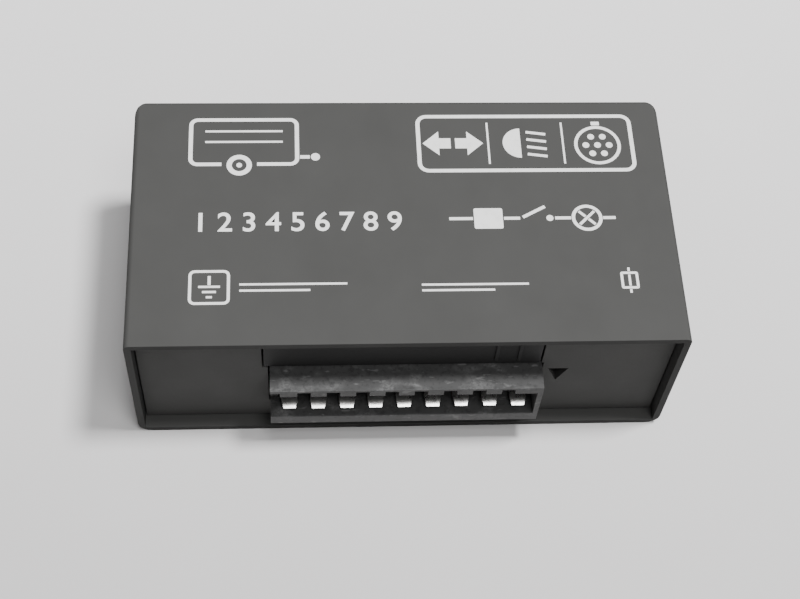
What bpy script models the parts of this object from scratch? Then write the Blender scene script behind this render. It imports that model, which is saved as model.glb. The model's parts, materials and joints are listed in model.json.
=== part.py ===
"""Trailer control module: a moulded sleeve that holds a pull-out electronics tray.

The tray is a front panel, a circuit board and a nine-way blade connector that stands proud of the
sleeve's mouth. The board carries two relays whose armatures rock, power switches, a buzzer, a choke
and the parts that drive them.

Units are metres. +X runs along the long side, -Y is the connector side and +Z is up. The origin is
the centre of the module's footprint, on the plane of its underside.
"""

import math

import bmesh
import bpy
from mathutils import Matrix
from mathutils import Vector

MM = 0.001

# Sleeve
WIDTH = 94 * MM
DEPTH = 50 * MM
HEIGHT = 31 * MM
WALL = 1.2 * MM
BACK_WALL = 2 * MM
BACK_CORNER = 2.8 * MM
TOP_EDGE = 1.0 * MM
BASE_EDGE = 2.6 * MM
BEVEL_STEPS = 4

# Clearance between pieces that touch or slide, and under parts soldered to the board
GAP = 0.3 * MM
SEAT = 0.2 * MM

# Front panel, set back inside the sleeve, with a window above the connector that a plate closes
PANEL_INSET = 2.3 * MM
PANEL_THICKNESS = 2.0 * MM
WINDOW_LEFT = -24.7 * MM
WINDOW_RIGHT = 23.3 * MM
WINDOW_TOP = 27.4 * MM
LATCH_FLANGE = 1.2 * MM
KEY_HOLE_X = 26.5 * MM
KEY_HOLE_Z = 15.8 * MM
KEY_HOLE_RADIUS = 2.1 * MM
KEY_HOLE_STRETCH = 1.35
SNAP_BEAD = 0.2 * MM
SNAP_HEIGHT = 12 * MM

# Connector header, proud of the sleeve's mouth
HEADER_PROUD = 2.5 * MM
HEADER_LEFT = -23.4 * MM
HEADER_RIGHT = 23.4 * MM
HEADER_BOTTOM = 7.2 * MM
HEADER_TOP = 19.1 * MM
HEADER_LENGTH = 13.8 * MM
SHROUD_LEFT_SIDE = 1.3 * MM
SHROUD_RIGHT_SIDE = 0.9 * MM
SHROUD_FLOOR = 2.4 * MM
SHROUD_ROOF = 2.0 * MM
SHROUD_DEPTH = 9.5 * MM
GROOVE_WIDTH = 2.3 * MM
GROOVE_HEIGHT = 1.4 * MM
SIDE_SLOT_DEPTH = 4 * MM
SIDE_SLOT_WIDTH = 1.7 * MM
SIDE_SLOT_SKIN = 0.8 * MM
EAR_LENGTH = 5 * MM
EAR_DEPTH = 4 * MM
EAR_HEIGHT = 4 * MM
PEG_RADIUS = 1.0 * MM

# Contact blades
BLADE_COUNT = 9
BLADE_PITCH = 5 * MM
BLADE_MIDDLE_X = -0.1 * MM
BLADE_Z = 10.9 * MM
BLADE_WIDTH = 2.8 * MM
BLADE_THICKNESS = 0.8 * MM
BLADE_TIP = 1.3 * MM
BLADE_RECESS = 1.1 * MM
TIP_TAPER = (0.75, 1, 0.4)
TAIL_WIDTH = 1.0 * MM
TAIL_BEHIND_HEADER = 3.8 * MM
TAIL_BELOW_BOARD = 1.6 * MM
TAIL_HOLE_RADIUS = 0.98 * MM

# Circuit board and the rails that it slides in
BOARD_THICKNESS = 1.6 * MM
BOARD_SIDE_GAP = 0.4 * MM
BOARD_BACK_GAP = 0.6 * MM
RAIL_REACH = 2.0 * MM
RAIL_THICKNESS = 1.0 * MM
CLIP_X = 39 * MM
CLIP_WIDTH = 4 * MM
CLIP_GRIP = 2.5 * MM
CLIP_JAW = 1.6 * MM

# Relays
RELAY_CENTRES = ((-33.5 * MM, 12 * MM), (-15 * MM, 12 * MM))
RELAY_LENGTH = 16 * MM
RELAY_WIDTH = 13 * MM
RELAY_HEIGHT = 15 * MM
RELAY_SHELL = 0.8 * MM
ARMATURE_PIVOT_X = -5.7 * MM
ARMATURE_PIVOT_Z = 12.5 * MM
ARMATURE_THICKNESS = 1.0 * MM

# Places worked out from the above
FRONT = -(DEPTH - HEADER_PROUD) / 2
BACK = FRONT + DEPTH
INNER_X = WIDTH / 2 - WALL
INNER_TOP = HEIGHT - WALL
PANEL_FRONT = FRONT + PANEL_INSET
PANEL_BACK = PANEL_FRONT + PANEL_THICKNESS
HEADER_FRONT = FRONT - HEADER_PROUD
HEADER_BACK = HEADER_FRONT + HEADER_LENGTH
BOARD_TOP = HEADER_BOTTOM - GAP
BOARD_BOTTOM = BOARD_TOP - BOARD_THICKNESS
BOARD_FRONT = PANEL_BACK + BOARD_SIDE_GAP
BOARD_BACK = BACK - BACK_WALL - BOARD_BACK_GAP
BOARD_X = INNER_X - BOARD_SIDE_GAP
TAIL_Y = HEADER_BACK + TAIL_BEHIND_HEADER
SOLDERED = BOARD_TOP + SEAT

COLOURS = {
    "sleeve_plastic": ((0.07, 0.07, 0.068), 0.62, 0.0),
    "panel_plastic": ((0.065, 0.065, 0.063), 0.6, 0.0),
    "connector_plastic": ((0.05, 0.05, 0.05), 0.45, 0.0),
    "latch_plastic": ((0.015, 0.015, 0.016), 0.5, 0.0),
    "tinned_copper": ((0.82, 0.81, 0.78), 0.28, 1.0),
    "board_laminate": ((0.02, 0.13, 0.06), 0.45, 0.0),
    "relay_plastic": ((0.05, 0.05, 0.055), 0.5, 0.0),
    "relay_cover": ((0.35, 0.4, 0.42), 0.2, 0.0),
    "bobbin_plastic": ((0.75, 0.72, 0.62), 0.5, 0.0),
    "copper_wire": ((0.72, 0.3, 0.12), 0.3, 1.0),
    "plated_steel": ((0.6, 0.6, 0.58), 0.35, 1.0),
    "chip_plastic": ((0.03, 0.03, 0.032), 0.55, 0.0),
    "ferrite": ((0.06, 0.065, 0.07), 0.7, 0.0),
    "capacitor_can": ((0.7, 0.71, 0.73), 0.3, 1.0),
    "buzzer_plastic": ((0.04, 0.04, 0.04), 0.5, 0.0),
    "brass": ((0.78, 0.57, 0.25), 0.3, 1.0),
}


def clear_scene():
    """Remove whatever the scene holds."""
    for obj in list(bpy.data.objects):
        bpy.data.objects.remove(obj, do_unlink=True)


def make_material(name):
    """Return the named Principled material from the colour table, made once."""
    found = bpy.data.materials.get(name)
    if found:
        return found
    colour, roughness, metallic = COLOURS[name]
    material = bpy.data.materials.new(name)
    material.use_nodes = True
    shader = material.node_tree.nodes["Principled BSDF"]
    shader.inputs["Base Color"].default_value = (*colour, 1.0)
    shader.inputs["Roughness"].default_value = roughness
    shader.inputs["Metallic"].default_value = metallic
    return material


clear_scene()
parts = bpy.data.collections.new("trailer_control_module")
cutters = bpy.data.collections.new("cutters")
bpy.context.scene.collection.children.link(parts)
bpy.context.scene.collection.children.link(cutters)


def add_object(name, bm, material, origin, parent=None):
    """Turn a bmesh, given in world coordinates, into an object with its origin at a point.

    With no material the object is a helper for a Boolean, and stays out of the model.
    """
    origin = Vector(origin)
    bmesh.ops.translate(bm, verts=bm.verts, vec=-origin)
    mesh = bpy.data.meshes.new(name)
    bm.to_mesh(mesh)
    bm.free()
    obj = bpy.data.objects.new(name, mesh)
    obj.location = origin
    if material:
        parts.objects.link(obj)
        mesh.materials.append(make_material(material))
        obj.parent = parent
    else:
        cutters.objects.link(obj)
        obj.hide_render = True
        obj.display_type = "WIRE"
    return obj


def cuboid(bm, low, high):
    """Add an axis-aligned box to a bmesh, and return its vertices."""
    low = Vector(low)
    high = Vector(high)
    verts = bmesh.ops.create_cube(bm, size=1)["verts"]
    bmesh.ops.scale(bm, vec=high - low, verts=verts)
    bmesh.ops.translate(bm, vec=(low + high) / 2, verts=verts)
    return verts


def boxes(name, spans, material=None, origin=None, parent=None):
    """An object of one or more boxes, each given by its low and high corners."""
    bm = bmesh.new()
    for low, high in spans:
        cuboid(bm, low, high)
    if origin is None:
        origin = (Vector(spans[0][0]) + Vector(spans[0][1])) / 2
    return add_object(name, bm, material, origin, parent)


def drums(name, places, radius, bottom, top, material=None, parent=None, sides=24):
    """An object of one or more upright cylinders at the given (x, y) places."""
    bm = bmesh.new()
    for x, y in places:
        bmesh.ops.create_cone(
            bm,
            cap_ends=True,
            segments=sides,
            radius1=radius,
            radius2=radius,
            depth=top - bottom,
            matrix=Matrix.Translation((x, y, (top + bottom) / 2)),
        )
    origin = (*places[0], bottom)
    obj = add_object(name, bm, material, origin, parent)
    obj.data.shade_smooth()
    obj.data.set_sharp_from_angle(angle=math.radians(35))
    return obj


def boolean(obj, other, operation):
    """Add a Boolean modifier with the exact solver."""
    modifier = obj.modifiers.new(other.name, "BOOLEAN")
    modifier.operation = operation
    modifier.solver = "EXACT"
    modifier.object = other


def cut(obj, other):
    boolean(obj, other, "DIFFERENCE")


def join(obj, other):
    boolean(obj, other, "UNION")


def bevel(obj, width, segments=2):
    """Round the sharp edges of an object."""
    modifier = obj.modifiers.new("edges", "BEVEL")
    modifier.width = width
    modifier.segments = segments
    modifier.limit_method = "ANGLE"
    modifier.angle_limit = math.radians(40)


def empty(name, location, parent=None):
    """An empty that marks a joint's axis."""
    obj = bpy.data.objects.new(name, None)
    obj.empty_display_size = 5 * MM
    obj.location = location
    obj.parent = parent
    parts.objects.link(obj)
    return obj


def edge_radius(edge):
    """Rounding radius of an edge of the sleeve's block; the front rim stays sharp."""
    middle = (edge.verts[0].co + edge.verts[1].co) / 2
    if middle.y < FRONT + GAP:
        return 0
    if abs(middle.z - HEIGHT / 2) < GAP:
        return BACK_CORNER
    return TOP_EDGE if middle.z > HEIGHT / 2 else BASE_EDGE


def housing_sleeve():
    """Five-sided box, open at the front, with rails for the board along its side walls."""
    bm = bmesh.new()
    cuboid(bm, (-WIDTH / 2, FRONT, 0), (WIDTH / 2, BACK, HEIGHT))
    weight = bm.edges.layers.float.new("bevel_weight_edge")
    for edge in bm.edges:
        edge[weight] = edge_radius(edge) / BACK_CORNER
    sleeve = add_object("housing_sleeve", bm, "sleeve_plastic", (0, 0, 0))
    rounding = sleeve.modifiers.new("edges", "BEVEL")
    rounding.limit_method = "WEIGHT"
    rounding.width = BACK_CORNER
    rounding.segments = BEVEL_STEPS

    hollow = boxes("cut_sleeve_hollow", [((-INNER_X, FRONT - GAP, WALL), (INNER_X, BACK - BACK_WALL, INNER_TOP))])
    cut(sleeve, hollow)
    snap_y = (PANEL_FRONT + PANEL_BACK) / 2
    snap_low = (HEIGHT - SNAP_HEIGHT) / 2 - GAP
    snap_high = (HEIGHT + SNAP_HEIGHT) / 2 + GAP
    snaps = []
    for side in (-1, 1):
        snap_x = side * (INNER_X + WALL / 4)
        low = (snap_x - WALL / 2, snap_y - WALL / 2, snap_low)
        high = (snap_x + WALL / 2, snap_y + WALL / 2, snap_high)
        snaps.append((low, high))
    cut(sleeve, boxes("cut_sleeve_snap_grooves", snaps))

    rail_levels = (
        (WALL - GAP, BOARD_BOTTOM - GAP),
        (BOARD_TOP + GAP, BOARD_TOP + GAP + RAIL_THICKNESS),
    )
    for side, side_name in ((-1, "left"), (1, "right")):
        inner, outer = sorted((side * (INNER_X - RAIL_REACH), side * (INNER_X + GAP)))
        for (bottom, top), level in zip(rail_levels, ("lower", "upper")):
            rail = boxes(
                f"add_{side_name}_{level}_rail",
                [((inner, PANEL_BACK + GAP, bottom), (outer, BACK - BACK_WALL + GAP, top))],
            )
            join(sleeve, rail)
    return sleeve


def front_panel(tray):
    """Plate with a hole for the connector, a window above it, a key hole and clips for the board."""
    edge_x = INNER_X - GAP
    panel = boxes(
        "front_panel",
        [((-edge_x, PANEL_FRONT, WALL + GAP), (edge_x, PANEL_BACK, INNER_TOP - GAP))],
        "panel_plastic",
        parent=tray,
    )
    ahead = PANEL_FRONT - GAP
    behind = PANEL_BACK + GAP
    header_hole = (
        (HEADER_LEFT - GAP, ahead, HEADER_BOTTOM - GAP),
        (HEADER_RIGHT + GAP, behind, HEADER_TOP + GAP),
    )
    cut(panel, boxes("cut_panel_header_hole", [header_hole]))
    window = ((WINDOW_LEFT, ahead, HEADER_TOP), (WINDOW_RIGHT, behind, WINDOW_TOP))
    cut(panel, boxes("cut_panel_window", [window]))

    bm = bmesh.new()
    key_hole = Vector((KEY_HOLE_X, PANEL_FRONT, KEY_HOLE_Z))
    turn = Matrix.Translation(key_hole) @ Matrix.Rotation(math.radians(90), 4, "X")
    stretch = Matrix.Diagonal((1, KEY_HOLE_STRETCH, 1, 1))
    bmesh.ops.create_cone(
        bm,
        cap_ends=True,
        segments=3,
        radius1=KEY_HOLE_RADIUS,
        radius2=KEY_HOLE_RADIUS,
        depth=3 * PANEL_THICKNESS,
        matrix=turn @ stretch @ Matrix.Rotation(math.radians(180), 4, "Z"),
    )
    cut(panel, add_object("cut_panel_key_hole", bm, None, key_hole))

    clip_end = BOARD_FRONT + CLIP_GRIP
    clip_top = BOARD_TOP + GAP + CLIP_JAW
    bead_y = (PANEL_FRONT + PANEL_BACK) / 2
    for side, side_name in ((-1, "left"), (1, "right")):
        clip_low = side * CLIP_X - CLIP_WIDTH / 2
        clip_high = side * CLIP_X + CLIP_WIDTH / 2
        clip_span = ((clip_low, PANEL_BACK - GAP, WALL + GAP), (clip_high, clip_end, clip_top))
        join(panel, boxes(f"add_panel_{side_name}_clip", [clip_span]))
        slot_span = (
            (clip_low - GAP, BOARD_FRONT - GAP, BOARD_BOTTOM - GAP),
            (clip_high + GAP, clip_end + GAP, BOARD_TOP + GAP),
        )
        cut(panel, boxes(f"cut_panel_{side_name}_board_slot", [slot_span]))
        bead_x = side * (edge_x - SNAP_BEAD)
        bead_span = (
            (bead_x - 2 * SNAP_BEAD, bead_y - GAP, (HEIGHT - SNAP_HEIGHT) / 2),
            (bead_x + 2 * SNAP_BEAD, bead_y + GAP, (HEIGHT + SNAP_HEIGHT) / 2),
        )
        join(panel, boxes(f"add_panel_{side_name}_bead", [bead_span]))
    return panel


def latch_plate(tray):
    """Black plate that fills the panel's window; its flange lies against the panel's back."""
    bottom = HEADER_TOP + GAP
    flange_front = PANEL_BACK + GAP
    face = (
        (WINDOW_LEFT + GAP, PANEL_FRONT, bottom),
        (WINDOW_RIGHT - GAP, flange_front + GAP, WINDOW_TOP - GAP),
    )
    plate = boxes("latch_plate", [face], "latch_plastic", parent=tray)
    flange = (
        (WINDOW_LEFT - LATCH_FLANGE, flange_front, bottom),
        (WINDOW_RIGHT + LATCH_FLANGE, flange_front + LATCH_FLANGE, WINDOW_TOP + LATCH_FLANGE),
    )
    join(plate, boxes("add_latch_plate_flange", [flange]))
    return plate


def blade_places():
    """X of each contact blade, left to right."""
    first = BLADE_MIDDLE_X - BLADE_PITCH * (BLADE_COUNT - 1) / 2
    return [first + BLADE_PITCH * index for index in range(BLADE_COUNT)]


def peg_places():
    """(x, y) of the two locating pegs under the header's ears."""
    y = HEADER_BACK - EAR_DEPTH / 2
    return [(HEADER_LEFT - EAR_LENGTH / 2, y), (HEADER_RIGHT + EAR_LENGTH / 2, y)]


def connector_header(tray):
    """Shroud with a blade through each slot of its back wall, and an ear with a peg at each end."""
    header = boxes(
        "connector_header",
        [((HEADER_LEFT, HEADER_FRONT, HEADER_BOTTOM), (HEADER_RIGHT, HEADER_BACK, HEADER_TOP))],
        "connector_plastic",
        parent=tray,
    )
    ear_low = HEADER_BACK - EAR_DEPTH
    ear_top = HEADER_BOTTOM + EAR_HEIGHT
    for side_name, inner, outer in (
        ("left", HEADER_LEFT + GAP, HEADER_LEFT - EAR_LENGTH),
        ("right", HEADER_RIGHT - GAP, HEADER_RIGHT + EAR_LENGTH),
    ):
        low_x, high_x = sorted((inner, outer))
        ear = ((low_x, ear_low, HEADER_BOTTOM), (high_x, HEADER_BACK - GAP, ear_top))
        join(header, boxes(f"add_header_{side_name}_ear", [ear]))
    peg_top = ear_top - EAR_HEIGHT / 2
    join(header, drums("add_header_pegs", peg_places(), PEG_RADIUS, BOARD_BOTTOM - GAP, peg_top, sides=12))

    ahead = HEADER_FRONT - GAP
    floor = HEADER_BOTTOM + SHROUD_FLOOR
    roof = HEADER_TOP - SHROUD_ROOF
    left = HEADER_LEFT + SHROUD_LEFT_SIDE
    right = HEADER_RIGHT - SHROUD_RIGHT_SIDE
    cavity_back = HEADER_FRONT + SHROUD_DEPTH
    cut(header, boxes("cut_header_cavity", [((left, ahead, floor), (right, cavity_back, roof))]))
    places = blade_places()
    grooves = []
    for x in places[:-1]:
        low = (x + (BLADE_PITCH - GROOVE_WIDTH) / 2, ahead, roof - GAP)
        high = (x + (BLADE_PITCH + GROOVE_WIDTH) / 2, cavity_back - GAP, roof + GROOVE_HEIGHT)
        grooves.append((low, high))
    cut(header, boxes("cut_header_grooves", grooves))
    slot_x = BLADE_WIDTH / 2 + GAP
    slot_z = BLADE_THICKNESS / 2 + GAP
    slots = []
    for x in places:
        low = (x - slot_x, cavity_back - GAP, BLADE_Z - slot_z)
        high = (x + slot_x, HEADER_BACK + GAP, BLADE_Z + slot_z)
        slots.append((low, high))
    cut(header, boxes("cut_header_blade_slots", slots))
    side_slot = (
        (HEADER_LEFT - GAP, ahead, floor),
        (HEADER_LEFT + SIDE_SLOT_WIDTH, HEADER_FRONT + SIDE_SLOT_DEPTH, HEADER_TOP - SIDE_SLOT_SKIN),
    )
    cut(header, boxes("cut_header_side_slot", [side_slot]))
    return header


def contact_blade(index, x, tray):
    """Flat blade with a tapered tip; its tail bends down through the board."""
    half = BLADE_WIDTH / 2
    low_z = BLADE_Z - BLADE_THICKNESS / 2
    high_z = BLADE_Z + BLADE_THICKNESS / 2
    shoulder = HEADER_FRONT + BLADE_RECESS + BLADE_TIP
    tail_half_y = BLADE_THICKNESS / 2
    bm = bmesh.new()
    cuboid(bm, (x - half, shoulder, low_z), (x + half, TAIL_Y + tail_half_y, high_z))
    front_face = min(bm.faces, key=lambda face: face.calc_center_median().y)
    tip = bmesh.ops.extrude_discrete_faces(bm, faces=[front_face])["faces"][0]
    bmesh.ops.translate(bm, verts=tip.verts, vec=(0, -BLADE_TIP, 0))
    to_centre = Matrix.Translation((-x, 0, -BLADE_Z))
    bmesh.ops.scale(bm, verts=tip.verts, vec=TIP_TAPER, space=to_centre)
    blade = add_object(f"contact_blade_{index}", bm, "tinned_copper", (x, shoulder, BLADE_Z), tray)
    tail_span = (
        (x - TAIL_WIDTH / 2, TAIL_Y - 0.98 * tail_half_y, BOARD_BOTTOM - TAIL_BELOW_BOARD),
        (x + TAIL_WIDTH / 2, TAIL_Y + 0.98 * tail_half_y, BLADE_Z),
    )
    tail = boxes(f"add_blade_tail_{index}", [tail_span])
    join(blade, tail)
    return blade


def circuit_board(tray):
    """Board with holes for the header's pegs and the blades' tails."""
    board = boxes(
        "circuit_board",
        [((-BOARD_X, BOARD_FRONT, BOARD_BOTTOM), (BOARD_X, BOARD_BACK, BOARD_TOP))],
        "board_laminate",
        parent=tray,
    )
    tails = [(x, TAIL_Y) for x in blade_places()]
    cut(board, drums("cut_board_tail_holes", tails, TAIL_HOLE_RADIUS, 0, HEADER_TOP, sides=12))
    cut(board, drums("cut_board_peg_holes", peg_places(), PEG_RADIUS + GAP, 0, HEADER_TOP, sides=16))
    return board


def relay(number, centre, tray):
    """Clapper relay: a magnet coil pulls down a hinged armature, which closes a contact."""
    cx, cy = centre
    base_z = BOARD_TOP + GAP
    name = f"relay_{number}"

    def at(x, y, z):
        return Vector((cx + x * MM, cy + y * MM, base_z + z * MM))

    def span(low, high):
        return (at(*low), at(*high))

    def part(piece, spans, material, **options):
        return boxes(f"{name}_{piece}", [span(*spans)], material, parent=tray, **options)

    half_x = RELAY_LENGTH / 2
    half_y = RELAY_WIDTH / 2
    cover = boxes(
        f"{name}_cover",
        [((cx - half_x, cy - half_y, base_z), (cx + half_x, cy + half_y, base_z + RELAY_HEIGHT))],
        "relay_cover",
        parent=tray,
    )
    bevel(cover, 0.6 * MM)
    inner_x = half_x - RELAY_SHELL
    inner_y = half_y - RELAY_SHELL
    inside = boxes(
        f"cut_{name}_cover",
        [
            (
                (cx - inner_x, cy - inner_y, base_z - RELAY_SHELL),
                (cx + inner_x, cy + inner_y, base_z + RELAY_HEIGHT - RELAY_SHELL),
            )
        ],
    )
    cut(cover, inside)

    part("base", ((-6.9, -5.4, 0), (6.9, 5.4, 1.5)), "relay_plastic")
    yoke = part("yoke", ((-6.2, -4, 1.8), (-5.2, 4, 12.2)), "plated_steel")
    join(yoke, boxes(f"add_{name}_foot", [span((-5.6, -4, 1.8), (4, 4, 2.8))]))
    core_place = [(cx - 0.6 * MM, cy)]
    core = drums(f"add_{name}_core", core_place, 1.8 * MM, base_z + 2.4 * MM, base_z + 12 * MM, sides=20)
    join(yoke, core)

    bobbin = drums(
        f"{name}_bobbin",
        core_place,
        4.3 * MM,
        base_z + 3.1 * MM,
        base_z + 11 * MM,
        "bobbin_plastic",
        tray,
    )
    neck = drums(f"cut_{name}_bobbin_waist", core_place, 6 * MM, base_z + 3.9 * MM, base_z + 10.2 * MM)
    keep = drums(f"keep_{name}_barrel", core_place, 2.7 * MM, base_z + 3 * MM, base_z + 11.2 * MM)
    cut(neck, keep)
    cut(bobbin, neck)
    bore = drums(f"cut_{name}_bobbin_bore", core_place, 2.1 * MM, base_z + 2 * MM, base_z + 13 * MM)
    cut(bobbin, bore)

    winding = drums(
        f"{name}_winding",
        core_place,
        4.0 * MM,
        base_z + 4.2 * MM,
        base_z + 9.9 * MM,
        "copper_wire",
        tray,
    )
    eye = drums(f"cut_{name}_winding_bore", core_place, 3.0 * MM, base_z + 3 * MM, base_z + 11 * MM)
    cut(winding, eye)

    pivot = (cx + ARMATURE_PIVOT_X, cy, base_z + ARMATURE_PIVOT_Z)
    top = ARMATURE_PIVOT_Z / MM + ARMATURE_THICKNESS / MM
    armature = part(
        "armature",
        ((-6.4, -3.4, ARMATURE_PIVOT_Z / MM), (5.2, 3.4, top)),
        "plated_steel",
        origin=pivot,
    )
    nose = boxes(f"add_{name}_nose", [span((4.8, -1.2, 12.7), (6.6, 1.2, top - 0.2))])
    join(armature, nose)
    tip = drums(
        f"add_{name}_moving_tip",
        [(cx + 5.8 * MM, cy)],
        0.8 * MM,
        base_z + 12.1 * MM,
        base_z + 13 * MM,
        sides=16,
    )
    join(armature, tip)

    post = part("fixed_contact", ((6.1, -1.2, 1.8), (6.6, 1.2, 11.1)), "brass")
    join(post, boxes(f"add_{name}_contact_arm", [span((5.0, -1.2, 10.6), (6.3, 1.2, 11.0))]))
    seat = drums(
        f"add_{name}_fixed_tip",
        [(cx + 5.8 * MM, cy)],
        0.7 * MM,
        base_z + 10.8 * MM,
        base_z + 11.3 * MM,
        sides=16,
    )
    join(post, seat)
    part("return_spring", ((-6.8, -1.5, 6), (-6.5, 1.5, 12.1)), "brass")


def leaded_chip(name, centre, body, leads, material, tray, tab=0):
    """Chip package: a bevelled body on a thin sheet that stands for its row of leads or its tab."""
    cx, cy = (value * MM for value in centre)
    length, width, height = (value * MM for value in body)
    lead_x, lead_y = (value * MM for value in leads)
    lift = 0.1 * MM
    chip = boxes(
        name,
        [
            (
                (cx - length / 2, cy - width / 2, SOLDERED + lift),
                (cx + length / 2, cy + width / 2, SOLDERED + height),
            )
        ],
        material,
        parent=tray,
    )
    bevel(chip, 0.15 * MM, 1)
    foil = 0.3 * MM
    sheet = boxes(
        f"add_{name}_leads",
        [
            (
                (cx - lead_x / 2, cy - lead_y / 2 - tab * MM, SOLDERED),
                (cx + lead_x / 2, cy + lead_y / 2, SOLDERED + foil),
            )
        ],
    )
    join(chip, sheet)
    return chip


def can(name, centre, radius, height, material, tray):
    """Upright round part with softened edges."""
    x, y = (value * MM for value in centre)
    obj = drums(name, [(x, y)], radius * MM, SOLDERED, SOLDERED + height * MM, material, tray, sides=28)
    bevel(obj, 0.5 * MM, 2)
    return obj


def buzzer(centre, tray):
    """Round sounder: a case open underneath with a sound hole, and the disc inside it."""
    x, y = (value * MM for value in centre)
    top = SOLDERED + 7.5 * MM
    case = can("buzzer_case", centre, 7, 7.5, "buzzer_plastic", tray)
    inner_radius = 6.1 * MM
    hollow = drums("cut_buzzer_hollow", [(x, y)], inner_radius, BOARD_TOP - GAP, top - 1.2 * MM, sides=28)
    cut(case, hollow)
    cut(case, drums("cut_buzzer_hole", [(x, y)], 1.3 * MM, top - 2 * MM, top + GAP, sides=16))
    disc_bottom = SOLDERED + 3.6 * MM
    disc_top = disc_bottom + 0.4 * MM
    drums("buzzer_disc", [(x, y)], inner_radius - GAP, disc_bottom, disc_top, "brass", tray, sides=28)


def choke(centre, tray):
    """Ring core lying flat with one wire wound round it."""
    x, y = (value * MM for value in centre)
    ring = 4.6 * MM
    core_radius = 1.5 * MM
    tall = 1.5
    wire = 0.38 * MM
    reach = core_radius + GAP + wire
    rise = core_radius * tall + GAP + wire
    z = SOLDERED + rise + wire
    bpy.ops.mesh.primitive_torus_add(
        major_segments=28,
        minor_segments=10,
        major_radius=ring,
        minor_radius=core_radius,
    )
    core = bpy.context.active_object
    core.name = "choke_core"
    for vertex in core.data.vertices:
        vertex.co.z *= tall
    core.location = (x, y, z)
    core.data.materials.append(make_material("ferrite"))
    core.data.shade_smooth()
    for collection in list(core.users_collection):
        collection.objects.unlink(core)
    parts.objects.link(core)
    core.parent = tray

    turns = 11
    per_turn = 12
    spread = math.radians(300)
    line = bpy.data.curves.new("choke_winding", "CURVE")
    line.dimensions = "3D"
    line.bevel_depth = wire
    line.bevel_resolution = 1
    line.use_fill_caps = True
    count = turns * per_turn + 1
    spline = line.splines.new("POLY")
    spline.points.add(count - 1)
    for index, point in enumerate(spline.points):
        along = index / (count - 1)
        round_ring = spread * (along - 0.5) - math.pi / 2
        round_wire = 2 * math.pi * turns * along
        radius = ring + reach * math.cos(round_wire)
        point.co = (
            radius * math.cos(round_ring),
            radius * math.sin(round_ring),
            rise * math.sin(round_wire),
            1,
        )
    winding = bpy.data.objects.new("choke_winding", line)
    line.materials.append(make_material("copper_wire"))
    winding.location = (x, y, z)
    winding.parent = tray
    parts.objects.link(winding)


def electronics(tray):
    """Everything on the board apart from the header and the relays."""
    leaded_chip("microcontroller", (9, -2), (7, 7, 1.4), (9, 9), "chip_plastic", tray)
    switch_body = (6.6, 6.1, 2.3)
    switch_leads = (5.4, 6.1)
    for index, place in enumerate(((24, 5.8), (33.5, 5.8), (24, -3), (33.5, -3)), start=1):
        name = f"power_switch_{index}"
        leaded_chip(name, place, switch_body, switch_leads, "chip_plastic", tray, tab=1.6)
    leaded_chip("voltage_regulator", (36.5, -11.9), (6.6, 6.1, 2.3), (5.4, 8), "chip_plastic", tray)
    leaded_chip("surge_diode", (-23.5, -3), (7, 6, 2.3), (8.2, 3), "chip_plastic", tray)
    leaded_chip("shunt_resistor", (-14.5, -3), (6.3, 3.2, 0.8), (6.9, 3), "chip_plastic", tray)
    leaded_chip("flash_memory", (-7.5, -3), (4.9, 3.9, 1.5), (4.2, 6), "chip_plastic", tray)
    leaded_chip("crystal", (0, -1.5), (3.6, 10.6, 3.4), (1.6, 11.6), "capacitor_can", tray)
    can("bulk_capacitor", (37, 15), 5, 12.5, "capacitor_can", tray)
    can("filter_capacitor", (26.5, 16), 4, 10.5, "capacitor_can", tray)
    buzzer((11.5, 14), tray)
    choke((-36.2, -9.5), tray)


def build():
    housing_sleeve()
    tray = empty("tray_slide_axis", (0, 0, 0))
    front_panel(tray)
    latch_plate(tray)
    connector_header(tray)
    for index, x in enumerate(blade_places(), start=1):
        contact_blade(index, x, tray)
    circuit_board(tray)
    for number, centre in enumerate(RELAY_CENTRES, start=1):
        relay(number, centre, tray)
    electronics(tray)


build()
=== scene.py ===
import json
import math
import random

import bmesh
import bpy
from mathutils import Matrix
from mathutils import Vector


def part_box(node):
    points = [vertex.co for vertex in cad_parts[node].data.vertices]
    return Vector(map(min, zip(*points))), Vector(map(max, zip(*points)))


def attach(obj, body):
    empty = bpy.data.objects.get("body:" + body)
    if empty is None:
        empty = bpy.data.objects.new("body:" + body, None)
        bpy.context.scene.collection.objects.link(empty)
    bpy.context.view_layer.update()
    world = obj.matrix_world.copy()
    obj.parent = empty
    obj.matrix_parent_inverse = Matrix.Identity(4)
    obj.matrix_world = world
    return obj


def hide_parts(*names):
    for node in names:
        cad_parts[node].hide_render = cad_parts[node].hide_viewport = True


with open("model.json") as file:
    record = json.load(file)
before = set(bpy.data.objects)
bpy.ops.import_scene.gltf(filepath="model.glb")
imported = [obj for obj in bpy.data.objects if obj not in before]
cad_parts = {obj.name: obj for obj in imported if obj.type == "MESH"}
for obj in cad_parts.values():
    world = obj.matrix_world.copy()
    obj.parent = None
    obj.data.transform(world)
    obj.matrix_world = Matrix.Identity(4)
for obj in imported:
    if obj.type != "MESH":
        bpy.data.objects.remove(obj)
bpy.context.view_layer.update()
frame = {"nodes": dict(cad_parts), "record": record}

MM = 0.001
RECORD = frame["record"]
BODY_OF = {node: body for body, nodes in RECORD["behaviour"]["bodies"].items() for node in nodes}
SLOT_OF = {part["node"]: part["material_slot"] for part in RECORD["subparts"]}
HOUSING = "housing"
TRAY = "electronics_tray"

SLEEVE_LOW, SLEEVE_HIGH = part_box("housing_sleeve")
SLEEVE_CENTRE = (SLEEVE_LOW + SLEEVE_HIGH) / 2
BOARD_LOW, BOARD_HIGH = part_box("circuit_board")
BLADES = [f"contact_blade_{number}" for number in range(1, 10)]
RELAYS = ("relay_1", "relay_2")

# ---------------------------------------------------------------- materials


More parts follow.
